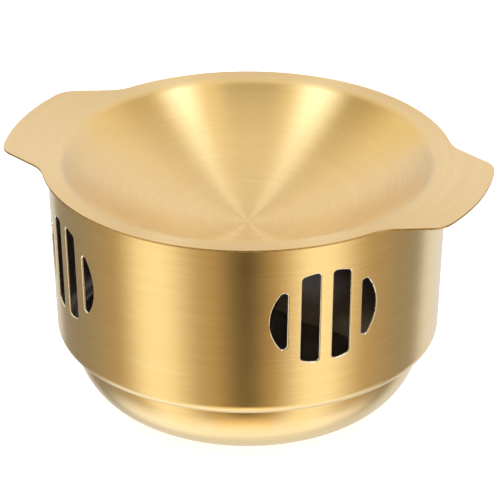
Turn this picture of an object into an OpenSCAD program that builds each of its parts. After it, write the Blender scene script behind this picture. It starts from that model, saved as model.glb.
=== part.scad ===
// Spirit-fired food warmer: an eared serving pan rests on a vented stove shell, and a small
// burner stands on the floor of the shell. Millimetres, +Z up, ears along X.
// The origin is the middle of the foot that the shell stands on.

/* [Stove shell] */
// Height of the wall's top edge above the foot
stove_h = 121.6; // [110:0.1:150]
// Outer radius of the wall at its top edge
wall_top_r = 96.8; // [88:0.1:110]
// How much smaller the wall's radius is at the shelf
wall_taper = 3.8; // [0:0.1:8]
// Thickness of the shell's sheet
stove_sheet = 1; // [0.6:0.1:1.4]
// Height of the shelf where the wall steps in to the bowl
shelf_h = 30.4; // [26:0.1:42]
// Radius of the wall's rounded lower edge
crease_r = 6.6; // [2:0.1:9]
// Width of the shelf's flat part
shelf_w = 0.4; // [0.2:0.1:6]
// Radius of the corner between shelf and bowl
step_r = 1.2; // [0.5:0.1:3]
// How far the foot's edge lies inside the bowl's top
foot_in = 19.8; // [10:0.1:24]
// Radius of the foot's rounded edge
foot_edge_r = 3.7; // [1.5:0.1:6]

/* [Vents] */
// Number of vents around the wall
vent_count = 4; // [2:1:6]
// Direction of the first vent from the ear
vent_turn = 45; // [0:1:90]
// Depth of a vent's middle below the wall's top edge
vent_drop = 39.7; // [32:0.1:48]
// Radius of the two arcs that bound a vent's halves
vent_arc_r = 23.6; // [21:0.1:28]
// Offset of those arcs' centres from the vent's middle line
vent_arc_shift = 3.5; // [1:0.1:6]
// Width of the bar in the middle of a vent
mid_bar_w = 6.8; // [4:0.1:10]
// Width of the slots beside the middle bar
slot_w = 9; // [6:0.1:10]
// Width of the bars outside those slots
side_bar_w = 6.7; // [4:0.1:8]
// Radius of the slots' corners
slot_corner_r = 1.8; // [0.5:0.1:2.2]

/* [Serving pan] */
// Thickness of the pan's sheet
pan_sheet = 1; // [0.6:0.1:1.5]
// Depth of the bowl's inside below the rim's top
pan_depth = 34.3; // [20:0.1:42]
// How far the rim stands out past the wall
rim_overhang = 3.2; // [1:0.1:8]
// Sideways play between the pan's bowl and the wall's top edge
seat_play = 2.7; // [0.5:0.1:5]
// Radius of the rounding from the rim into the bowl
pan_roll_r = 7; // [3:0.1:12]
// How far an ear stands out past the rim
ear_len = 19.4; // [14:0.1:30]
// Half of an ear's width at the rim's radius
ear_half_w = 42.7; // [34:0.1:52]
// Angle at which an ear's sides draw in
ear_draw = 24.8; // [5:0.1:35]
// Radius of an ear's outer corners
ear_corner_r = 13; // [3:0.1:15]
// Radius of the hollow between an ear's side and the rim
ear_root_r = 20; // [3:0.1:24]

/* [Burner] */
// Outer radius of the fuel cup
cup_r = 25; // [22:0.1:34]
// Height of the fuel cup with its curled rim
cup_h = 26; // [20:0.1:34]
// Thickness of the burner's sheet pieces
burner_sheet = 0.8; // [0.5:0.1:1.2]
// Radius of the cup's rounded lower edge
cup_edge_r = 3; // [1.5:0.1:6]
// Radius of the cup's curled rim
curl_r = 1.2; // [0.8:0.1:1.8]
// Depth of the cover's skirt inside the cup
skirt_h = 6; // [3:0.1:9]
// Radius of the flame opening in the cover
flame_r = 12; // [8:0.1:13]
// Thickness of the perforated screen
screen_t = 0.6; // [0.4:0.1:1]
// Radius of one hole in the screen
screen_hole_r = 1.2; // [0.8:0.1:1.5]
// Distance between neighbouring holes in the screen
screen_pitch = 4.2; // [3.6:0.1:4.8]
// Rings of holes around the screen's middle hole
screen_rings = 4; // [2:1:4]

/* [Regulator] */
// How far the regulator overlaps the flame opening's edge
cover_lap = 2; // [1:0.1:3]
// Radius of the regulator's lug around its pivot
lug_r = 3.6; // [3:0.1:5]
// Radius of the pivot rivet's shank
rivet_r = 1.5; // [1:0.1:2]
// Radius of the rivet's heads
rivet_head_r = 2.8; // [2.4:0.1:3.4]
// Height of the rivet's domed head
rivet_dome_h = 1.1; // [0.8:0.1:1.6]
// Width of the lever
lever_w = 8; // [5:0.1:12]
// How far the lever reaches past the cup
lever_out = 5; // [2:0.1:12]
// Height of the lever's upturned end
lever_h = 7; // [5:0.1:10]
// Inner radius of the lever's bend
lever_bend_r = 1.5; // [0.8:0.1:2.5]

/* [Clearances] */
// Gap around pieces that are pushed into the cup
push_gap = 0.15; // [0.05:0.01:0.3]
// Gap around the soft wick pad
pad_gap = 0.3; // [0.1:0.05:0.8]
// Radial running gap between rivet and regulator
pivot_gap = 0.06; // [0.02:0.01:0.1]
// Radial gap between rivet and cover
rivet_gap = 0.03; // [0.01:0.01:0.1]
// Gap above and below the swinging regulator
swing_gap = 0.08; // [0.04:0.01:0.2]

/* [Hidden] */

$fn = 128;
// Greatest distance between a drawn arc and its chords
arc_tol = 0.04;
// Extra length that lets a cut pass through a wall
cut_past = 5;

gold = [0.87, 0.73, 0.47];
steel = [0.72, 0.72, 0.71];
wool = [0.86, 0.84, 0.78];

// Stove shell: centres of the arcs in its section
wall_low_r = wall_top_r - wall_taper;
wall_tilt = atan2(wall_taper, stove_h - shelf_h);
foot_rise = shelf_h - foot_edge_r;
bowl_arc_r = (foot_in * foot_in + foot_rise * foot_rise - foot_edge_r * foot_edge_r)
             / (2 * (foot_in - foot_edge_r));
crease_c = [wall_low_r - crease_r * (1 - sin(wall_tilt)) / cos(wall_tilt), shelf_h + crease_r];
step_c = [crease_c.x - shelf_w, shelf_h - step_r];
step_run = bowl_arc_r + step_r;
bowl_c = [step_c.x - sqrt(step_run * step_run - step_r * step_r), shelf_h];
foot_c = [bowl_c.x + bowl_arc_r - foot_in, foot_edge_r];
step_a = atan2(-step_r, step_c.x - bowl_c.x);
foot_a = atan2(foot_c.y - bowl_c.y, foot_c.x - bowl_c.x);

// Vents: middle height, slot edges and the reach of the corner roundings' centres
vent_z = stove_h - vent_drop;
slot_in = mid_bar_w / 2;
slot_out = slot_in + slot_w;
end_slot_in = slot_out + side_bar_w;
vent_fit_r = vent_arc_r - slot_corner_r;
vent_arc_c = [vent_arc_shift, 0];

// Serving pan: rim plane, the rounding's centre and the bowl's sphere
pan_top = stove_h + pan_sheet;
pan_rim_r = wall_top_r + rim_overhang;
roll_c = [wall_top_r - stove_sheet - seat_play, pan_top - pan_roll_r];
bowl_sphere_r = (roll_c.x * roll_c.x + pan_depth * pan_depth) / (2 * pan_depth) - pan_roll_r;
sphere_c = [0, pan_top - pan_depth + bowl_sphere_r];
roll_a = asin(roll_c.x / (bowl_sphere_r + pan_roll_r));
rim_seam_r = (roll_c.x + pan_rim_r) / 2;
rim_lap = (pan_rim_r - roll_c.x) / 6;

// Ears: the side's normal, its distance from the axis and the arcs at its two ends
ear_tip_r = pan_rim_r + ear_len;
ear_side_a = 90 - ear_draw;
ear_side_d = pan_rim_r * cos(ear_side_a) + ear_half_w * sin(ear_side_a);
ear_corner_d = ear_tip_r - ear_corner_r;
ear_corner_a = ear_side_a - acos((ear_side_d - ear_corner_r) / ear_corner_d);
ear_root_d = pan_rim_r + ear_root_r;
ear_root_a = ear_side_a - acos((ear_side_d + ear_root_r) / ear_root_d);

// Burner: levels counted from the shell's floor
floor_z = stove_sheet;
cover_z = floor_z + cup_h;
cover_top = cover_z + burner_sheet;
cup_in_r = cup_r - burner_sheet;
curl_c = [cup_r + curl_r / 2, cup_h - curl_r];
skirt_r = cup_in_r - push_gap;
flange_r = curl_c.x + curl_r;
screen_z = cover_z - skirt_h - screen_t;
pad_z = floor_z + burner_sheet;
pad_r = cup_in_r - pad_gap;

// Regulator: its disc, pivot and levels
disc_r = flame_r + cover_lap;
pivot_d = (flame_r + skirt_r - burner_sheet) / 2;
plate_z = cover_top + swing_gap;
rivet_head_z = plate_z + burner_sheet + swing_gap;
lug_a = asin((lug_r - disc_r) / pivot_d);
lever_end = flange_r + lever_out;

function polar(a) = [cos(a), sin(a)];
function reversed(p) = [for (i = [len(p) - 1:-1:0]) p[i]];
function flipped(p) = [for (q = reversed(p)) [q.x, -q.y]];

// Points along an arc; first and last leave out end points that a neighbouring arc already has
function arc(c, r, a0, a1, first = 0, last = 0) =
    let (step = 2 * acos(1 - arc_tol / r), n = max(2, ceil(abs(a1 - a0) / step)))
    [for (i = [first:n - last]) c + r * polar(a0 + (a1 - a0) * i / n)];

// Section line of the shell at a depth under its outer face, from the top edge to the axis
function shell_line(depth) = concat(
    [[wall_top_r - depth / cos(wall_tilt), stove_h]],
    arc(crease_c, crease_r - depth, -wall_tilt, -90),
    arc(step_c, step_r + depth, 90, 180 + step_a),
    arc(bowl_c, bowl_arc_r - depth, step_a, foot_a, 1, 1),
    arc(foot_c, foot_edge_r - depth, foot_a, -90),
    [[0, depth]]);

// Section line of the pan at a depth under its upper face, from the rim to the axis
function pan_line(depth) = concat(
    [[rim_seam_r, pan_top - depth]],
    arc(roll_c, pan_roll_r - depth, 90, 90 + roll_a),
    arc(sphere_c, bowl_sphere_r + depth, roll_a - 90, -90, 1));

// Centre of a slot's corner rounding that touches the vent's outline, and the angle where it touches
function corner_c(x) = [x, sqrt(vent_fit_r * vent_fit_r - pow(x - vent_arc_shift, 2))];
function corner_a(c) = atan2(c.y, c.x - vent_arc_shift);

// Half of an ear's outline from its outer edge to the rim
function ear_half() = concat(
    arc(ear_corner_d * polar(ear_corner_a), ear_corner_r, ear_corner_a, ear_side_a),
    arc(ear_root_d * polar(ear_root_a), ear_root_r, 180 + ear_side_a, 180 + ear_root_a));

// Half of the pan's plan: one ear and the rim up to the other ear
function pan_half() = concat(
    flipped(ear_half()),
    arc([0, 0], ear_tip_r, -ear_corner_a, ear_corner_a, 1, 1),
    ear_half(),
    arc([0, 0], pan_rim_r, ear_root_a, 180 - ear_root_a, 1, 1));

// Slot between two upright edges
module slot(x0, x1) {
    a = corner_c(x0 + slot_corner_r);
    b = corner_c(x1 - slot_corner_r);
    half = concat(arc(a, slot_corner_r, 180, corner_a(a)),
                  arc(vent_arc_c, vent_arc_r, corner_a(a), corner_a(b), 1, 1),
                  arc(b, slot_corner_r, corner_a(b), 0));
    polygon(concat(half, flipped(half)));
}

// Slot between an upright edge and the vent's round end
module end_slot(x0) {
    a = corner_c(x0 + slot_corner_r);
    corner = arc(a, slot_corner_r, 180, corner_a(a));
    polygon(concat(corner, arc(vent_arc_c, vent_arc_r, corner_a(a), -corner_a(a), 1, 1), flipped(corner)));
}

// One vent in the plane of its middle: two slots on each side of the bar
module vent_outline() {
    for (side = [0, 1])
        mirror([side, 0]) {
            slot(slot_in, slot_out);
            end_slot(end_slot_in);
        }
}

module stove_body() {
    color(gold)
    difference() {
        rotate_extrude()
            polygon(concat(shell_line(0), reversed(shell_line(stove_sheet))));
        for (i = [0:vent_count - 1])
            rotate([0, 0, vent_turn + i * 360 / vent_count])
                translate([wall_low_r - stove_sheet - cut_past, 0, vent_z])
                    rotate([90, 0, 90])
                        linear_extrude(wall_taper + stove_sheet + 2 * cut_past)
                            vent_outline();
    }
}

module serving_pan() {
    color(gold)
    union() {
        rotate_extrude()
            polygon(concat(pan_line(0), reversed(pan_line(pan_sheet))));
        translate([0, 0, pan_top - pan_sheet])
            linear_extrude(pan_sheet)
                difference() {
                    polygon(concat(pan_half(), -pan_half()));
                    circle(r = rim_seam_r - rim_lap);
                }
    }
}

module fuel_cup() {
    edge_c = [cup_r - cup_edge_r, cup_edge_r];
    color(steel)
    translate([0, 0, floor_z])
        rotate_extrude()
            union() {
                polygon(concat(
                    [[0, 0]],
                    arc(edge_c, cup_edge_r, -90, 0),
                    [[cup_r, curl_c.y], [cup_in_r, curl_c.y]],
                    reversed(arc(edge_c, cup_edge_r - burner_sheet, -90, 0)),
                    [[0, burner_sheet]]));
                translate(curl_c)
                    circle(r = curl_r);
            }
}

module wick_pad() {
    pad_edge_r = cup_edge_r;
    color(wool)
    translate([0, 0, pad_z])
        rotate_extrude()
            polygon(concat(
                [[0, 0]],
                arc([pad_r - pad_edge_r, pad_edge_r], pad_edge_r, -90, 0),
                [[pad_r, screen_z - pad_z], [0, screen_z - pad_z]]));
}

module wick_screen() {
    color(steel)
    translate([0, 0, screen_z])
        difference() {
            cylinder(r = pad_r, h = screen_t);
            for (ring = [0:screen_rings], k = [0:max(0, 6 * ring - 1)])
                rotate([0, 0, ring == 0 ? 0 : k * 60 / ring])
                    translate([ring * screen_pitch, 0, -cut_past])
                        cylinder(r = screen_hole_r, h = screen_t + 2 * cut_past);
        }
}

module burner_cover() {
    color(steel)
    difference() {
        translate([0, 0, cover_z])
            rotate_extrude()
                polygon([[flame_r, 0], [skirt_r - burner_sheet, 0], [skirt_r - burner_sheet, -skirt_h],
                         [skirt_r, -skirt_h], [skirt_r, 0], [flange_r, 0],
                         [flange_r, burner_sheet], [flame_r, burner_sheet]]);
        translate([0, -pivot_d, cover_z - cut_past])
            cylinder(r = rivet_r + rivet_gap, h = burner_sheet + 2 * cut_past);
    }
}

module regulator_rivet() {
    dome_r = (rivet_head_r * rivet_head_r + rivet_dome_h * rivet_dome_h) / (2 * rivet_dome_h);
    dome_a = asin(rivet_head_r / dome_r);
    color(steel)
    translate([0, -pivot_d, 0])
        rotate_extrude()
            polygon(concat(
                [[0, cover_z - burner_sheet], [rivet_head_r, cover_z - burner_sheet],
                 [rivet_head_r, cover_z], [rivet_r, cover_z], [rivet_r, rivet_head_z]],
                arc([0, rivet_head_z + rivet_dome_h - dome_r], dome_r, 90 - dome_a, 90)));
}

module regulator_plate() {
    pivot = [0, -pivot_d];
    bend_c = [lever_end - burner_sheet - lever_bend_r, burner_sheet + lever_bend_r];
    color(steel)
    translate([0, 0, plate_z])
        difference() {
            union() {
                linear_extrude(burner_sheet)
                    polygon(concat(arc([0, 0], disc_r, lug_a, 180 - lug_a),
                                   arc(pivot, lug_r, 180 - lug_a, 360 + lug_a)));
                translate([-lever_w / 2, 0, 0])
                    rotate([90, 0, 90])
                        linear_extrude(lever_w)
                            polygon(concat(
                                [[disc_r / 2, 0]],
                                arc(bend_c, lever_bend_r + burner_sheet, -90, 0),
                                [[lever_end, lever_h], [lever_end - burner_sheet, lever_h]],
                                reversed(arc(bend_c, lever_bend_r, -90, 0)),
                                [[disc_r / 2, burner_sheet]]));
            }
            translate([0, -pivot_d, -cut_past])
                cylinder(r = rivet_r + pivot_gap, h = burner_sheet + 2 * cut_past);
        }
}

stove_body();
serving_pan();
fuel_cup();
wick_pad();
wick_screen();
burner_cover();
regulator_rivet();
regulator_plate();
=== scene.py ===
"""Looks of a gold-coloured food warmer pot: an eared pan on a vented stove shell with a spirit burner."""

import math

import bmesh
import bpy
from mathutils import Matrix, Vector


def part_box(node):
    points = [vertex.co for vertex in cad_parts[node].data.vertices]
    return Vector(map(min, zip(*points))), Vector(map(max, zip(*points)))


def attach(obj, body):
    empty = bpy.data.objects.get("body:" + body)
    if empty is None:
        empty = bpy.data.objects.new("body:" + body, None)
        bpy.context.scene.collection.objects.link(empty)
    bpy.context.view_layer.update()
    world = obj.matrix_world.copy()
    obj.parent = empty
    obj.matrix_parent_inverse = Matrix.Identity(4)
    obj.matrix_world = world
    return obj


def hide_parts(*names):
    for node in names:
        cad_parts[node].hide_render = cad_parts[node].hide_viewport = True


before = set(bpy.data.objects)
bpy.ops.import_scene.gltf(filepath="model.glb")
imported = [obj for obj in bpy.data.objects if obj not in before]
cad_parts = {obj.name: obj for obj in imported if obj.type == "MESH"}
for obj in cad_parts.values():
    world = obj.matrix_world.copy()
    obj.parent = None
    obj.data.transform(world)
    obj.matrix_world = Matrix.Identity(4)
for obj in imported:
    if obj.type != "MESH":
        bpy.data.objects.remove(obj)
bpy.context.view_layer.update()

MM = 0.001

# Stove shell, in metres as all sizes here
STOVE_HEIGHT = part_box("stove_body")[1][2]
WALL_TOP_R = 96.8 * MM
WALL_TAPER = 3.8 * MM
STOVE_SHEET = 1.0 * MM
SHELF_HEIGHT = 30.4 * MM
CREASE_R = 6.6 * MM
SHELF_FLAT = 0.4 * MM
STEP_R = 1.2 * MM
FOOT_INSET = 19.8 * MM
FOOT_EDGE_R = 3.7 * MM

# Vents
VENT_COUNT = 4
VENT_TURN = 45
VENT_DROP = 39.7 * MM
VENT_ARC_R = 23.6 * MM
VENT_ARC_SHIFT = 3.5 * MM
MID_BAR_WIDTH = 6.8 * MM
SLOT_WIDTH = 9.0 * MM
SIDE_BAR_WIDTH = 6.7 * MM
SLOT_CORNER_R = 1.8 * MM

# Serving pan
PAN_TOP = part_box("serving_pan")[1][2]
PAN_SHEET = 1.0 * MM
PAN_DEPTH = 34.3 * MM
RIM_OVERHANG = 3.2 * MM
SEAT_PLAY = 2.7 * MM
PAN_ROLL_R = 7.0 * MM
EAR_LENGTH = 19.4 * MM
EAR_HALF_WIDTH = 42.7 * MM
EAR_DRAW = 24.8
EAR_CORNER_R = 13.0 * MM
EAR_ROOT_R = 20.0 * MM

# Spirit burner, which stands on the shell's floor
CUP_R = 25.0 * MM
CUP_EDGE_R = 3.0 * MM
BURNER_SHEET = 0.8 * MM
CURL_R = 1.2 * MM
CURL_TURN = 230
FLAME_R = 12.0 * MM
SKIRT_HEIGHT = 6.0 * MM
PUSH_GAP = 0.15 * MM
COVER_LAP = 2.0 * MM
LUG_R = 3.6 * MM
RIVET_R = 1.5 * MM
RIVET_DOME = 1.1 * MM
LEVER_WIDTH = 8.0 * MM
LEVER_HEIGHT = 7.0 * MM
LEVER_BEND_R = 1.5 * MM

# Camera, as the photograph shows the pot
IMAGE_SENSOR = 36
LENS = 316.8
VIEW_AZIMUTH = 22
VIEW_ELEVATION = 26.83
VIEW_DISTANCE = 2.1465
AIM_HEIGHT = 72.4 * MM
AIM_RIGHT = 1.15 * MM

# Fineness of the curves
SPIN_STEPS = 264
BEND_STEPS = 6
ARC_SAG = 0.004 * MM
WELD = 0.001 * MM

# Vent punch, as shares of the wall's top radius
PUNCH_START = 0.85
PUNCH_LENGTH = 0.25

# Cut edges. Those that turn by more than EDGE_ANGLE degrees lose their sharpness
EDGE_BREAK = 0.18 * MM
EDGE_SEGMENTS = 3
EDGE_ANGLE = 50
SLOT_BREAK = 0.7 * MM
SLOT_SEGMENTS = 4

# Places of the materials on the sheets
STOVE_OUTSIDE = 0
STOVE_INSIDE = 1
STOVE_CUT = 2
PAN_CUT = 1

# Finishes. Brush and draw lines are coarser than real ones, or they wouldn't show
LINE_LENGTH = 30 * MM
LINE_WIDTH = 0.3 * MM
LINE_DEPTH = 0.02 * MM
BAND_LENGTH = 60 * MM
BAND_WIDTH = 3 * MM
DRAW_LENGTH = 20 * MM
DRAW_WIDTH = 0.6 * MM
CLOUD_SIZE = 14 * MM
POLISH_MARK = 1.5 * MM
FIBRE_SIZE = 1.2 * MM
FIBRE_DEPTH = 0.5 * MM

# Part of a full turn that sets a brushed metal's blur across its lines
BLUR_ACROSS_LINES = 0.25

# Most of a noise's values lie in this range
NOISE_SPAN = {"From Min": 0.3, "From Max": 0.7}

# Places of the colour sockets on the Mix node
MIX_FIRST = 6
MIX_SECOND = 7
MIX_RESULT = 2

# Table top
TABLE_REACH = 3
TABLE_GRAIN = 20 * MM
TABLE_GLOW = 0.75
WHITE = (1, 1, 1, 1)

# Light round the pot, linear. Each term has a window of azimuth from the camera, right positive, and one of
# elevation. A window rises between its first two degrees and falls between its last two. Later terms cover
# earlier ones.
ALL_ROUND = (-181, -180, 180, 181)
BACKDROP = (0.95, 0.89, 0.97, 1)
SURROUNDINGS = {
    "backdrop_low": ((0.58, 0.67, 0.98, 1), ALL_ROUND, (-14, -6, 6, 18)),
    "table_behind": ((0.85, 0.86, 0.96, 1), ALL_ROUND, (-181, -180, -22, -10)),
    "dark_room": ((0.31, 0.285, 0.28, 1), (-158, -144, 120, 132), (-181, -180, -8, 2)),
    "room_above": ((0.95, 0.81, 0.53, 1), (-142, -134, 120, 126), (-6, 4, 180, 181)),
    "table": ((1.32, 1.35, 1.58, 1), (-150, -126, 104, 122), (-181, -180, -54, -38)),
    "behind_camera": ((0.0, 0.0, 0.0, 1), (-41, -21, 17, 28), (-60, -43, 62, 80)),
    "ceiling": ((1.14, 1.02, 0.84, 1), ALL_ROUND, (66, 73, 180, 181)),
    "table_in_front": ((1.5, 1.06, 0.48, 1), (-45, -20, 18, 30), (-68, -60, -51, -44)),
    "left_glow": ((0.48, 0.35, 0.2, 1), (-124, -72, -26, -1), (-60, -42, 20, 40)),
    "left_panel": ((1.14, 1.04, 0.9, 1), (-86, -62, -55, -24), (-75, -55, 10, 30)),
    "right_glow": ((0.52, 0.37, 0.21, 1), (-1, 23, 60, 122), (-60, -42, 20, 40)),
    "right_panel": ((1.14, 1.04, 0.9, 1), (16, 39, 47, 78), (-75, -55, 10, 30)),
    "left_gap": ((0.26, 0.17, 0.05, 1), (-110, -100, -77, -69), (12, 22, 58, 68)),
    "right_gap": ((0.4, 0.28, 0.13, 1), (72, 80, 94, 106), (15, 25, 58, 68)),
    "left_panel_middle": ((1.3, 1.35, 1.45, 1), (-60, -52, -42, -30), (8, 22, 42, 52)),
    "left_panel_top": ((3.1, 3.6, 4.7, 1), (-87, -78, -61, -52), (43, 53, 66, 74)),
    "right_panel_middle": ((1.3, 1.35, 1.45, 1), (29, 41, 52, 60), (8, 22, 42, 52)),
    "right_panel_top": ((3.1, 3.6, 4.7, 1), (49, 58, 72, 80), (43, 53, 65, 73)),
}


def linear(hex_colour):
    """Turns an sRGB hex colour to the linear colour that nodes take."""
    values = [int(hex_colour[i:i + 2], 16) / 255 for i in (1, 3, 5)]
    return tuple(v / 12.92 if v <= 0.04045 else ((v + 0.055) / 1.055) ** 2.4 for v in values) + (1,)


def add(tree, kind, inputs, **settings):
    """Adds a node with its settings; an input is a value or another node's output."""
    node = tree.nodes.new(kind)
    for name, value in settings.items():
        setattr(node, name, value)
    for name, value in inputs.items():
        if isinstance(value, bpy.types.NodeSocket):
            tree.links.new(value, node.inputs[name])
        else:
            node.inputs[name].default_value = value
    return node


def new_material(name):
    """Starts an empty material and returns it with its node tree."""
    material = bpy.data.materials.new(name)
    material.use_nodes = True
    material.node_tree.nodes.clear()
    return material, material.node_tree


def brush_lines(tree, length, width):
    """Noise drawn out along circles round the pot's axis, as a spinning brush leaves it."""
    place = add(tree, "ShaderNodeTexCoord", {}).outputs["Object"]
    parts = add(tree, "ShaderNodeSeparateXYZ", {"Vector": place}).outputs
    flat = add(tree, "ShaderNodeCombineXYZ", {"X": parts["X"], "Y": parts["Y"]}).outputs["Vector"]
    radius = add(tree, "ShaderNodeVectorMath", {0: flat}, operation="LENGTH").outputs["Value"]
    across = add(tree, "ShaderNodeMath", {0: radius, 1: parts["Z"]}, operation="ADD").outputs["Value"]
    line_place = add(tree, "ShaderNodeCombineXYZ", {
        "X": parts["X"], "Y": parts["Y"], "Z": across}).outputs["Vector"]
    stretched = add(tree, "ShaderNodeVectorMath", {
        0: line_place, 1: (1 / length, 1 / length, 1 / width)}, operation="MULTIPLY").outputs["Vector"]
    return add(tree, "ShaderNodeTexNoise", {
        "Vector": stretched, "Scale": 1.0, "Detail": 4.0, "Roughness": 0.65}).outputs["Fac"]


def around_axis(tree):
    """Direction of the brush lines at each point."""
    place = add(tree, "ShaderNodeTexCoord", {}).outputs["Object"]
    around = add(tree, "ShaderNodeVectorMath", {
        0: (0, 0, 1), 1: place}, operation="CROSS_PRODUCT").outputs["Vector"]
    return add(tree, "ShaderNodeVectorTransform", {"Vector": around}, vector_type="VECTOR",
               convert_from="OBJECT", convert_to="WORLD").outputs["Vector"]


def mottled(tree, pattern, dark, light):
    """Colour that goes from dark to light with a noise pattern."""
    share = add(tree, "ShaderNodeMapRange", {"Value": pattern, **NOISE_SPAN}).outputs["Result"]
    return add(tree, "ShaderNodeMix", {
        "Factor": share, MIX_FIRST: linear(dark), MIX_SECOND: linear(light)},
        data_type="RGBA").outputs[MIX_RESULT]


def brushed_gold(name, dark, light, smooth, rough):
    """Gold-coated stainless steel with circular brushing: soft streaks of light across fine brush lines."""
    material, tree = new_material(name)
    lines = brush_lines(tree, LINE_LENGTH, LINE_WIDTH)
    bands = brush_lines(tree, BAND_LENGTH, BAND_WIDTH)
    line_share = add(tree, "ShaderNodeMapRange", {
        "Value": lines, **NOISE_SPAN, "To Min": 0.1, "To Max": 0.5}).outputs["Result"]
    band_share = add(tree, "ShaderNodeMapRange", {
        "Value": bands, **NOISE_SPAN, "To Min": 0.1, "To Max": 0.4}).outputs["Result"]
    share = add(tree, "ShaderNodeMath", {0: line_share, 1: band_share}, operation="ADD").outputs["Value"]
    colour = add(tree, "ShaderNodeMix", {
        "Factor": share, MIX_FIRST: linear(dark), MIX_SECOND: linear(light)},
        data_type="RGBA").outputs[MIX_RESULT]
    dullness = add(tree, "ShaderNodeMapRange", {
        "Value": lines, **NOISE_SPAN, "To Min": smooth, "To Max": rough}).outputs["Result"]
    relief = add(tree, "ShaderNodeBump", {
        "Height": lines, "Strength": 0.08, "Distance": LINE_DEPTH}).outputs["Normal"]
    shader = add(tree, "ShaderNodeBsdfPrincipled", {
        "Base Color": colour, "Metallic": 1, "Roughness": dullness, "Normal": relief, "Anisotropic": 1,
        "Anisotropic Rotation": BLUR_ACROSS_LINES, "Tangent": around_axis(tree)}).outputs["BSDF"]
    add(tree, "ShaderNodeOutputMaterial", {"Surface": shader})
    return material


def satin_steel(name, dark, light, smooth, rough):
    """Plain drawn steel: a grey satin with faint draw lines and cloudy patches."""
    material, tree = new_material(name)
    lines = brush_lines(tree, DRAW_LENGTH, DRAW_WIDTH)
    place = add(tree, "ShaderNodeTexCoord", {}).outputs["Object"]
    clouds = add(tree, "ShaderNodeTexNoise", {
        "Vector": place, "Scale": 1 / CLOUD_SIZE, "Detail": 3.0, "Roughness": 0.5}).outputs["Fac"]
    dullness = add(tree, "ShaderNodeMapRange", {
        "Value": lines, **NOISE_SPAN, "To Min": smooth, "To Max": rough}).outputs["Result"]
    shader = add(tree, "ShaderNodeBsdfPrincipled", {
        "Base Color": mottled(tree, clouds, dark, light), "Metallic": 1, "Roughness": dullness,
        "Anisotropic": 0.4, "Anisotropic Rotation": BLUR_ACROSS_LINES,
        "Tangent": around_axis(tree)}).outputs["BSDF"]
    add(tree, "ShaderNodeOutputMaterial", {"Surface": shader})
    return material


def cut_edge(name, dark, light, smooth, rough):
    """Rounded, polished cut edge of the gold sheet, mottled between the colours given. The colours are
    painted light: paler than the sheet's gold round the vents, a painted highlight on their real rounding,
    and darker on the pan's edge, painted shade.
    """
    material, tree = new_material(name)
    place = add(tree, "ShaderNodeTexCoord", {}).outputs["Object"]
    marks = add(tree, "ShaderNodeTexNoise", {
        "Vector": place, "Scale": 1 / POLISH_MARK, "Detail": 2.0, "Roughness": 0.5}).outputs["Fac"]
    dullness = add(tree, "ShaderNodeMapRange", {
        "Value": marks, **NOISE_SPAN, "To Min": smooth, "To Max": rough}).outputs["Result"]
    shader = add(tree, "ShaderNodeBsdfPrincipled", {
        "Base Color": mottled(tree, marks, dark, light), "Metallic": 1,
        "Roughness": dullness}).outputs["BSDF"]
    add(tree, "ShaderNodeOutputMaterial", {"Surface": shader})
    return material


def fibre_wool(name, dark, light):
    """Packed mineral wool: dull, pale and matted with fine fibres."""
    material, tree = new_material(name)
    place = add(tree, "ShaderNodeTexCoord", {}).outputs["Object"]
    fibres = add(tree, "ShaderNodeTexNoise", {
        "Vector": place, "Scale": 1 / FIBRE_SIZE, "Detail": 6.0, "Roughness": 0.75,
        "Distortion": 2.0}).outputs["Fac"]
    relief = add(tree, "ShaderNodeBump", {
        "Height": fibres, "Strength": 0.8, "Distance": FIBRE_DEPTH}).outputs["Normal"]
    shader = add(tree, "ShaderNodeBsdfPrincipled", {
        "Base Color": mottled(tree, fibres, dark, light), "Roughness": 0.95, "Sheen Weight": 0.3,
        "Normal": relief}).outputs["BSDF"]
    add(tree, "ShaderNodeOutputMaterial", {"Surface": shader})
    return material


def trace(bm, start, moves, axis):
    """Draws a line from start: a point is a straight move, a centre with an angle is an arc about axis."""
    end = bm.verts.new(start)
    for move in moves:
        if isinstance(move, Vector):
            end = bmesh.ops.extrude_vert_indiv(bm, verts=[end])["verts"][0]
            end.co = move
        else:
            centre, angle = move
            step = 2 * math.acos(1 - ARC_SAG / (end.co - centre).length)
            steps = max(2, round(math.radians(abs(angle)) / step))
            turned = bmesh.ops.spin(bm, geom=[end], cent=centre, axis=axis, angle=math.radians(angle),
                                    steps=steps)
            end = turned["geom_last"][0]


def spin_full(bm):
    """Spins the line in bm round the pot's axis, closes its pole and turns its faces outwards."""
    bmesh.ops.spin(bm, geom=bm.verts[:] + bm.edges[:], cent=(0, 0, 0), axis=(0, 0, 1), angle=math.tau,
                   steps=SPIN_STEPS, use_merge=True)
    bmesh.ops.remove_doubles(bm, verts=bm.verts, dist=WELD)
    bmesh.ops.recalc_face_normals(bm, faces=bm.faces)


def new_piece(name, bm, materials):
    """Makes a smooth mesh object of bm with its materials."""
    mesh = bpy.data.meshes.new(name)
    for face in bm.faces:
        face.smooth = True
    bm.to_mesh(mesh)
    bm.free()
    for material in materials:
        mesh.materials.append(material)
    piece = bpy.data.objects.new(name, mesh)
    bpy.context.collection.objects.link(piece)
    return piece


def thicken(piece, thickness, side):
    """Gives a drawn face its sheet thickness, outwards with a side of 1 and inwards with -1."""
    sheet = piece.modifiers.new("sheet", "SOLIDIFY")
    sheet.thickness = thickness
    sheet.offset = side
    sheet.use_even_offset = True
    return sheet


def break_edges(piece):
    """Takes the sharpness off cut sheet edges."""
    bevel = piece.modifiers.new("edge_break", "BEVEL")
    bevel.width = EDGE_BREAK
    bevel.segments = EDGE_SEGMENTS
    bevel.limit_method = "ANGLE"
    bevel.angle_limit = math.radians(EDGE_ANGLE)
    bevel.harden_normals = True


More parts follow.
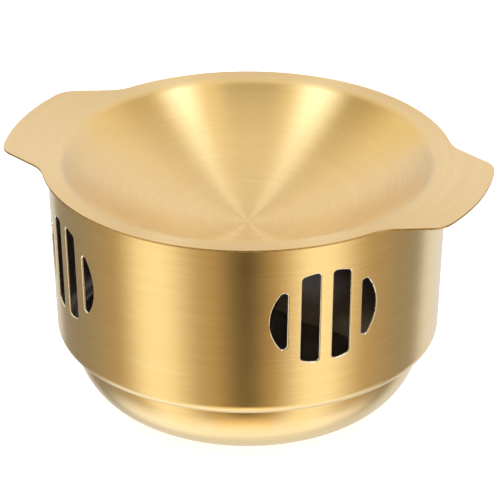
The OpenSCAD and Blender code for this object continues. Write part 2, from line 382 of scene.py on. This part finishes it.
def round_slots(piece):
    """Rounds the vents' outer edges, as a worn punch leaves them, and breaks the other cut edges."""
    bm = bmesh.new()
    bm.from_mesh(piece.data)
    at_cuts = [v for v in bm.verts if any(f.material_index == STOVE_CUT for f in v.link_faces)]
    bmesh.ops.remove_doubles(bm, verts=at_cuts, dist=EDGE_BREAK)
    weight = bm.edges.layers.float.new("bevel_weight_edge")
    for edge in bm.edges:
        sides = {face.material_index for face in edge.link_faces}
        if STOVE_CUT in sides and len(sides) == 2:
            below_rim = min(v.co.z for v in edge.verts) < STOVE_HEIGHT - STOVE_SHEET
            at_slot = STOVE_OUTSIDE in sides and below_rim
            edge[weight] = 1 if at_slot else EDGE_BREAK / SLOT_BREAK
    bm.to_mesh(piece.data)
    bm.free()
    bevel = piece.modifiers.new("edge_break", "BEVEL")
    bevel.width = SLOT_BREAK
    bevel.segments = SLOT_SEGMENTS
    # The rounding takes the vents' cut-edge colour, painted paler than the gold as a painted highlight
    bevel.material = STOVE_CUT
    bevel.limit_method = "WEIGHT"
    bevel.use_clamp_overlap = False
    bevel.harden_normals = True


def polar(radius, angle):
    """Point of the section plane or outline at an angle in degrees."""
    return radius * math.cos(math.radians(angle)), radius * math.sin(math.radians(angle))


def shell_line(bm):
    """Draws the stove's outer face in section, from the wall's top edge to the axis."""
    wall_low_r = WALL_TOP_R - WALL_TAPER
    tilt = math.atan2(WALL_TAPER, STOVE_HEIGHT - SHELF_HEIGHT)
    rise = SHELF_HEIGHT - FOOT_EDGE_R
    bowl_r = (FOOT_INSET ** 2 + rise ** 2 - FOOT_EDGE_R ** 2) / (2 * (FOOT_INSET - FOOT_EDGE_R))
    step_run = bowl_r + STEP_R
    crease_run = CREASE_R * (1 - math.sin(tilt)) / math.cos(tilt)
    crease = Vector((wall_low_r - crease_run, 0, SHELF_HEIGHT + CREASE_R))
    step = Vector((crease.x - SHELF_FLAT, 0, SHELF_HEIGHT - STEP_R))
    bowl = Vector((step.x - math.sqrt(step_run ** 2 - STEP_R ** 2), 0, SHELF_HEIGHT))
    foot = Vector((bowl.x + bowl_r - FOOT_INSET, 0, FOOT_EDGE_R))
    step_angle = math.degrees(math.atan2(step.z - bowl.z, step.x - bowl.x))
    foot_angle = math.degrees(math.atan2(foot.z - bowl.z, foot.x - bowl.x))
    wall_tilt = math.degrees(tilt)
    x, z = polar(CREASE_R, -wall_tilt)
    trace(bm, (WALL_TOP_R, 0, STOVE_HEIGHT), [
        crease + Vector((x, 0, z)),
        (crease, -90 + wall_tilt),
        step + Vector((0, 0, STEP_R)),
        (step, 90 + step_angle),
        (bowl, foot_angle - step_angle),
        (foot, -90 - foot_angle),
        Vector((0, 0, 0)),
    ], axis=(0, -1, 0))


def slot_corner(x):
    """Centre of a slot's corner rounding that touches the vent's outline, and the angle at which it does."""
    fit_r = VENT_ARC_R - SLOT_CORNER_R
    centre = Vector((x, math.sqrt(fit_r ** 2 - (x - VENT_ARC_SHIFT) ** 2), 0))
    return centre, math.degrees(math.atan2(centre.y, x - VENT_ARC_SHIFT))


def slot_outline(bm, near, far=None):
    """Draws a vent slot from its edge near the middle bar to its far edge, or to the vent's round end."""
    start, start_angle = slot_corner(near + SLOT_CORNER_R)
    low_start = Vector((start.x, -start.y, 0))
    outline = Vector((VENT_ARC_SHIFT, 0, 0))
    if far is None:
        moves = [(outline, -2 * start_angle)]
    else:
        end, end_angle = slot_corner(far - SLOT_CORNER_R)
        low_end = Vector((end.x, -end.y, 0))
        moves = [
            (outline, end_angle - start_angle),
            (end, -end_angle),
            low_end + Vector((SLOT_CORNER_R, 0, 0)),
            (low_end, -end_angle),
            (outline, end_angle - start_angle),
        ]
    moves = [(start, start_angle - 180)] + moves + [(low_start, start_angle - 180)]
    trace(bm, start - Vector((SLOT_CORNER_R, 0, 0)), moves, axis=(0, 0, 1))


def vent_cutter():
    """Closed punches for all slots, from inside the wall to outside it."""
    bm = bmesh.new()
    slot_in = MID_BAR_WIDTH / 2
    slot_out = slot_in + SLOT_WIDTH
    for near, far in ((slot_in, slot_out), (slot_out + SIDE_BAR_WIDTH, None)):
        before = set(bm.verts)
        slot_outline(bm, near, far)
        bmesh.ops.remove_doubles(bm, verts=[v for v in bm.verts if v not in before], dist=WELD)
        rim = [e for e in bm.edges if e.verts[0] not in before]
        face = bmesh.ops.contextual_create(bm, geom=rim)["faces"]
        wall = bmesh.ops.extrude_face_region(bm, geom=face)["geom"]
        bmesh.ops.translate(bm, verts=[v for v in wall if isinstance(v, bmesh.types.BMVert)],
                            vec=(0, 0, WALL_TOP_R * PUNCH_LENGTH))
    bmesh.ops.mirror(bm, geom=bm.verts[:] + bm.edges[:] + bm.faces[:], axis="X", merge_dist=-1)
    place = Matrix.Translation((0, -WALL_TOP_R * PUNCH_START, STOVE_HEIGHT - VENT_DROP))
    upright = Matrix.Rotation(math.pi / 2, 4, "X")
    bmesh.ops.transform(bm, matrix=place @ upright, verts=bm.verts)
    first = bm.verts[:] + bm.edges[:] + bm.faces[:]
    turn = math.tau / VENT_COUNT
    bmesh.ops.rotate(bm, verts=bm.verts, matrix=Matrix.Rotation(math.radians(VENT_TURN), 3, "Z"))
    for i in range(1, VENT_COUNT):
        copy = bmesh.ops.duplicate(bm, geom=first)["geom"]
        bmesh.ops.rotate(bm, verts=[v for v in copy if isinstance(v, bmesh.types.BMVert)],
                         matrix=Matrix.Rotation(i * turn, 3, "Z"))
    bmesh.ops.recalc_face_normals(bm, faces=bm.faces)
    for face in bm.faces:
        face.material_index = STOVE_CUT
    return bm


def stove_body(outside, inside, cut):
    """The drawn shell with its punched vents."""
    bm = bmesh.new()
    shell_line(bm)
    spin_full(bm)
    piece = new_piece("stove_shell", bm, [outside, inside, cut])
    sheet = thicken(piece, STOVE_SHEET, -1)
    sheet.material_offset = STOVE_INSIDE
    sheet.material_offset_rim = STOVE_CUT
    cutter = new_piece("vent_punch", vent_cutter(), [outside, inside, cut])
    vents = piece.modifiers.new("vents", "BOOLEAN")
    vents.operation = "DIFFERENCE"
    vents.solver = "EXACT"
    vents.object = cutter
    bpy.context.view_layer.update()
    done = piece.evaluated_get(bpy.context.evaluated_depsgraph_get())
    mesh = bpy.data.meshes.new_from_object(done)
    piece.modifiers.clear()
    piece.data = mesh
    bpy.data.objects.remove(cutter)
    round_slots(piece)
    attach(piece, "stove")
    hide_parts("stove_body")


def pan_outline(bm):
    """Draws the rim with its two ears, seen from above."""
    rim = WALL_TOP_R + RIM_OVERHANG
    tip = rim + EAR_LENGTH
    side = 90 - EAR_DRAW
    side_distance = rim * math.cos(math.radians(side)) + EAR_HALF_WIDTH * math.sin(math.radians(side))
    corner_distance = tip - EAR_CORNER_R
    corner_angle = side - math.degrees(math.acos((side_distance - EAR_CORNER_R) / corner_distance))
    root_distance = rim + EAR_ROOT_R
    root_angle = side - math.degrees(math.acos((side_distance + EAR_ROOT_R) / root_distance))
    at = Vector((0, 0, PAN_TOP))
    moves = []
    for turn in (0, 180):
        corner = at + Vector((*polar(corner_distance, turn + corner_angle), 0))
        root = at + Vector((*polar(root_distance, turn + root_angle), 0))
        next_root = at + Vector((*polar(root_distance, turn + 180 - root_angle), 0))
        next_corner = at + Vector((*polar(corner_distance, turn + 180 - corner_angle), 0))
        side_in = root - Vector((*polar(EAR_ROOT_R, turn + side), 0))
        moves += [
            (at, 2 * corner_angle),
            (corner, side - corner_angle),
            side_in,
            (root, root_angle - side),
            (at, 180 - 2 * root_angle),
            (next_root, root_angle - side),
            next_corner - Vector((*polar(EAR_CORNER_R, turn - side), 0)),
            (next_corner, side - corner_angle),
        ]
    trace(bm, at + Vector((*polar(tip, -corner_angle), 0)), moves, axis=(0, 0, 1))


def serving_pan(outside, cut):
    """The pressed pan: a round bowl that rolls out to a flat rim with two ears."""
    roll_r = WALL_TOP_R - STOVE_SHEET - SEAT_PLAY
    sphere_r = (roll_r ** 2 + PAN_DEPTH ** 2) / (2 * PAN_DEPTH) - PAN_ROLL_R
    roll = Vector((roll_r, 0, PAN_TOP - PAN_ROLL_R))
    sphere = Vector((0, 0, PAN_TOP - PAN_DEPTH + sphere_r))
    roll_angle = math.degrees(math.asin(roll_r / (sphere_r + PAN_ROLL_R)))
    bm = bmesh.new()
    trace(bm, (roll_r, 0, PAN_TOP), [(roll, roll_angle), (sphere, -roll_angle)], axis=(0, -1, 0))
    spin_full(bm)
    before = set(bm.verts)
    pan_outline(bm)
    bmesh.ops.remove_doubles(bm, verts=[v for v in bm.verts if v not in before], dist=WELD)
    rim = [e for e in bm.edges if len(e.link_faces) < 2]
    bmesh.ops.triangle_fill(bm, edges=rim, use_beauty=True, normal=(0, 0, 1))
    bmesh.ops.recalc_face_normals(bm, faces=bm.faces)
    if min(bm.faces, key=lambda f: f.calc_center_median().z).normal.z < 0:
        bmesh.ops.reverse_faces(bm, faces=bm.faces)
    piece = new_piece("serving_pan_sheet", bm, [outside, cut])
    sheet = thicken(piece, PAN_SHEET, -1)
    sheet.material_offset_rim = PAN_CUT
    break_edges(piece)
    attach(piece, "pan")
    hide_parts("serving_pan")


def fuel_cup(steel):
    """A drawn cup whose rim curls outwards."""
    low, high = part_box("fuel_cup")
    inner_r = CUP_R - BURNER_SHEET
    edge = Vector((CUP_R - CUP_EDGE_R, 0, low[2] + CUP_EDGE_R))
    curl = Vector((inner_r + CURL_R, 0, high[2] - CURL_R))
    bm = bmesh.new()
    trace(bm, (0, 0, low[2] + BURNER_SHEET), [
        edge - Vector((0, 0, CUP_EDGE_R - BURNER_SHEET)),
        (edge, 90),
        curl - Vector((CURL_R, 0, 0)),
        (curl, -CURL_TURN),
    ], axis=(0, -1, 0))
    spin_full(bm)
    piece = new_piece("fuel_cup_drawn", bm, [steel])
    thicken(piece, BURNER_SHEET, 1)
    finish_burner_piece(piece, "fuel_cup", "burner")


def wick_pad(wool):
    """Packed mineral wool, level with the screen that holds it down."""
    low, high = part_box("wick_pad")
    radius = high[0]
    edge = Vector((radius - CUP_EDGE_R, 0, low[2] + CUP_EDGE_R))
    bm = bmesh.new()
    trace(bm, (0, 0, low[2]), [
        edge - Vector((0, 0, CUP_EDGE_R)),
        (edge, 90),
        Vector((radius, 0, high[2])),
        Vector((0, 0, high[2])),
    ], axis=(0, -1, 0))
    spin_full(bm)
    piece = new_piece("wick_wool", bm, [wool])
    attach(piece, "burner")
    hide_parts("wick_pad")


def burner_cover(steel):
    """A flat ring over the cup with a skirt that presses into it."""
    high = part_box("burner_cover")[1]
    skirt_r = CUP_R - BURNER_SHEET - PUSH_GAP
    under = high[2] - BURNER_SHEET
    skirt_in = skirt_r - BURNER_SHEET
    skirt_low = under - SKIRT_HEIGHT
    corners = [(FLAME_R, under), (skirt_in, under), (skirt_in, skirt_low), (skirt_r, skirt_low),
               (skirt_r, under), (high[0], under), (high[0], high[2]), (FLAME_R, high[2]), (FLAME_R, under)]
    points = [Vector((x, 0, z)) for x, z in corners]
    bm = bmesh.new()
    trace(bm, points[0], points[1:], axis=(0, -1, 0))
    spin_full(bm)
    piece = new_piece("burner_cover_ring", bm, [steel])
    finish_burner_piece(piece, "burner_cover", "burner")


def regulator_rivet(steel):
    """A round-headed rivet, the regulator's pivot."""
    low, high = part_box("regulator_rivet")
    head_r = (high[0] - low[0]) / 2
    under = high[2] - RIVET_DOME
    dome_r = (head_r ** 2 + RIVET_DOME ** 2) / (2 * RIVET_DOME)
    dome = Vector((0, 0, high[2] - dome_r))
    dome_angle = math.degrees(math.asin(head_r / dome_r))
    foot = low[2] + BURNER_SHEET
    corners = [(head_r, low[2]), (head_r, foot), (RIVET_R, foot), (RIVET_R, under), (head_r, under)]
    points = [Vector((x, 0, z)) for x, z in corners]
    bm = bmesh.new()
    trace(bm, (0, 0, low[2]), points + [(dome, dome_angle)], axis=(0, -1, 0))
    spin_full(bm)
    bmesh.ops.translate(bm, verts=bm.verts, vec=(0, (low[1] + high[1]) / 2, 0))
    piece = new_piece("regulator_rivet_round", bm, [steel])
    finish_burner_piece(piece, "regulator_rivet", "burner")


def regulator_plate(steel):
    """A swinging shutter: a disc with a pivot lug and a lever bent up at its end."""
    low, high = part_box("regulator_plate")
    rivet_low, rivet_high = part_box("regulator_rivet")
    disc_r = FLAME_R + COVER_LAP
    pivot = Vector((0, (rivet_low[1] + rivet_high[1]) / 2, low[2]))
    middle = Vector((0, 0, low[2]))
    lug_angle = math.degrees(math.asin((LUG_R - disc_r) / -pivot.y))
    lever_angle = math.degrees(math.acos(LEVER_WIDTH / 2 / disc_r))
    bend = Vector((0, high[1] - BURNER_SHEET - LEVER_BEND_R, low[2] + BURNER_SHEET + LEVER_BEND_R))
    x, y = polar(disc_r, lug_angle)
    bm = bmesh.new()
    trace(bm, middle + Vector((x, y, 0)), [
        (middle, lever_angle - lug_angle),
        Vector((LEVER_WIDTH / 2, bend.y, low[2])),
        Vector((-LEVER_WIDTH / 2, bend.y, low[2])),
        Vector((*polar(disc_r, 180 - lever_angle), low[2])),
        (middle, lever_angle - lug_angle),
        (pivot, 180 + 2 * lug_angle),
    ], axis=(0, 0, 1))
    bmesh.ops.remove_doubles(bm, verts=bm.verts, dist=WELD)
    bmesh.ops.contextual_create(bm, geom=bm.edges[:])
    tip = [e for e in bm.edges if min(v.co.y for v in e.verts) > bend.y - WELD]
    turned = bmesh.ops.spin(bm, geom=tip + list(tip[0].verts), cent=bend, axis=(1, 0, 0), angle=math.pi / 2,
                            steps=BEND_STEPS)
    last = [e for e in turned["geom_last"] if isinstance(e, bmesh.types.BMEdge)]
    grown = bmesh.ops.extrude_edge_only(bm, edges=last)["geom"]
    rise = low[2] + LEVER_HEIGHT - bend.z
    bmesh.ops.translate(bm, verts=[v for v in grown if isinstance(v, bmesh.types.BMVert)], vec=(0, 0, rise))
    bmesh.ops.recalc_face_normals(bm, faces=bm.faces)
    if max(bm.faces, key=lambda f: f.calc_area()).normal.z < 0:
        bmesh.ops.reverse_faces(bm, faces=bm.faces)
    piece = new_piece("regulator_shutter", bm, [steel])
    thicken(piece, BURNER_SHEET, 1)
    finish_burner_piece(piece, "regulator_plate", "regulator")


def finish_burner_piece(piece, node, body):
    """Breaks a burner piece's edges and puts it in its node's place."""
    break_edges(piece)
    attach(piece, body)
    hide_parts(node)


def photo_camera():
    """The camera at the photograph's viewing angle."""
    azimuth = math.radians(VIEW_AZIMUTH)
    elevation = math.radians(VIEW_ELEVATION)
    right = Vector((math.cos(azimuth), math.sin(azimuth), 0))
    back = Vector((math.sin(azimuth) * math.cos(elevation), -math.cos(azimuth) * math.cos(elevation),
                   math.sin(elevation)))
    aim = right * AIM_RIGHT + Vector((0, 0, AIM_HEIGHT))
    data = bpy.data.cameras.new("photo_camera")
    data.sensor_width = IMAGE_SENSOR
    data.lens = LENS
    camera = bpy.data.objects.new("photo_camera", data)
    camera.location = aim + back * VIEW_DISTANCE
    camera.rotation_euler = back.to_track_quat("Z", "Y").to_euler()
    bpy.context.collection.objects.link(camera)
    bpy.context.scene.camera = camera


def window(tree, angle, edges):
    """One inside a window of degrees and nought outside it, with soft edges."""
    start, full, still_full, end = (math.radians(edge) for edge in edges)
    rise = add(tree, "ShaderNodeMapRange", {"Value": angle, "From Min": start, "From Max": full},
               interpolation_type="SMOOTHSTEP").outputs["Result"]
    fall = add(tree, "ShaderNodeMapRange", {"Value": angle, "From Min": end, "From Max": still_full},
               interpolation_type="SMOOTHSTEP").outputs["Result"]
    return add(tree, "ShaderNodeMath", {0: rise, 1: fall}, operation="MULTIPLY").outputs["Value"]


def studio_world():
    """What the pot mirrors: a white sweep behind it and over it, two tall bright panels beside the camera, a
    dim warm room between and beside them, and the lit table top below."""
    world = bpy.data.worlds.new("studio")
    bpy.context.scene.world = world
    world.use_nodes = True
    tree = world.node_tree
    tree.nodes.clear()
    way = add(tree, "ShaderNodeTexCoord", {}).outputs["Generated"]
    turned = add(tree, "ShaderNodeVectorRotate", {
        "Vector": way, "Angle": -math.radians(VIEW_AZIMUTH)}, rotation_type="Z_AXIS").outputs["Vector"]
    parts = add(tree, "ShaderNodeSeparateXYZ", {"Vector": turned}).outputs
    near = add(tree, "ShaderNodeMath", {0: parts["Y"], 1: -1.0}, operation="MULTIPLY").outputs["Value"]
    azimuth = add(tree, "ShaderNodeMath", {0: parts["X"], 1: near}, operation="ARCTAN2").outputs["Value"]
    elevation = add(tree, "ShaderNodeMath", {0: parts["Z"]}, operation="ARCSINE").outputs["Value"]
    colour = BACKDROP
    for light, across, up in SURROUNDINGS.values():
        share = add(tree, "ShaderNodeMath", {
            0: window(tree, azimuth, across), 1: window(tree, elevation, up)},
            operation="MULTIPLY").outputs["Value"]
        colour = add(tree, "ShaderNodeMix", {
            "Factor": share, MIX_FIRST: colour, MIX_SECOND: light}, data_type="RGBA").outputs[MIX_RESULT]
    to_camera = add(tree, "ShaderNodeLightPath", {}).outputs["Is Camera Ray"]
    seen = add(tree, "ShaderNodeMix", {
        "Factor": to_camera, MIX_FIRST: colour, MIX_SECOND: WHITE}, data_type="RGBA").outputs[MIX_RESULT]
    background = add(tree, "ShaderNodeBackground", {"Color": seen}).outputs["Background"]
    add(tree, "ShaderNodeOutputWorld", {"Surface": background})


def floor_plane():
    """A white table top that keeps the pot's faint shadow. The pot mirrors the studio's table instead."""
    bm = bmesh.new()
    bmesh.ops.create_grid(bm, x_segments=1, y_segments=1, size=TABLE_REACH)
    material, tree = new_material("white_table")
    place = add(tree, "ShaderNodeTexCoord", {}).outputs["Object"]
    grain = add(tree, "ShaderNodeTexNoise", {
        "Vector": place, "Scale": 1 / TABLE_GRAIN, "Detail": 3.0}).outputs["Fac"]
    colour = add(tree, "ShaderNodeMix", {
        "Factor": grain, MIX_FIRST: linear("#F0F0F0"), MIX_SECOND: linear("#F6F6F6")},
        data_type="RGBA").outputs[MIX_RESULT]
    shader = add(tree, "ShaderNodeBsdfPrincipled", {
        "Base Color": colour, "Roughness": 0.9, "Emission Color": WHITE,
        "Emission Strength": TABLE_GLOW}).outputs["BSDF"]
    add(tree, "ShaderNodeOutputMaterial", {"Surface": shader})
    table = new_piece("table_top", bm, [material])
    table.visible_glossy = False


photo_camera()
studio_world()
floor_plane()

wall_gold = brushed_gold("brushed_gold_wall", "#EDCE88", "#FBE3A6", 0.17, 0.23)
pan_gold = brushed_gold("brushed_gold_pan", "#EDCE88", "#FBE3A6", 0.27, 0.33)
inside_steel = satin_steel("inside_steel", "#A29C9A", "#B8B2AF", 0.37, 0.47)
# The vents' cut edges are painted paler than the wall's gold: a painted highlight on their real rounding
cut_gold_painted_highlight = cut_edge("cut_gold_edge_painted_highlight", "#F8E6BC", "#FFF8E2", 0.19, 0.31)
# The pan's cut edge is painted darker than the pan's gold: painted shade
pan_edge_painted_shade = cut_edge("cut_pan_edge_painted_shade", "#C4A05F", "#DBB978", 0.39, 0.51)
burner_steel = satin_steel("burner_steel", "#7E7A74", "#98938B", 0.35, 0.45)
mineral_wool = fibre_wool("mineral_wool", "#B3AA94", "#DED8C8")
stove_body(wall_gold, inside_steel, cut_gold_painted_highlight)
serving_pan(pan_gold, pan_edge_painted_shade)

fuel_cup(burner_steel)
wick_pad(mineral_wool)
burner_cover(burner_steel)
regulator_rivet(burner_steel)
regulator_plate(burner_steel)
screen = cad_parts["wick_screen"]
screen.data.materials.clear()
screen.data.materials.append(burner_steel)

bpy.context.scene.view_settings.view_transform = "Standard"
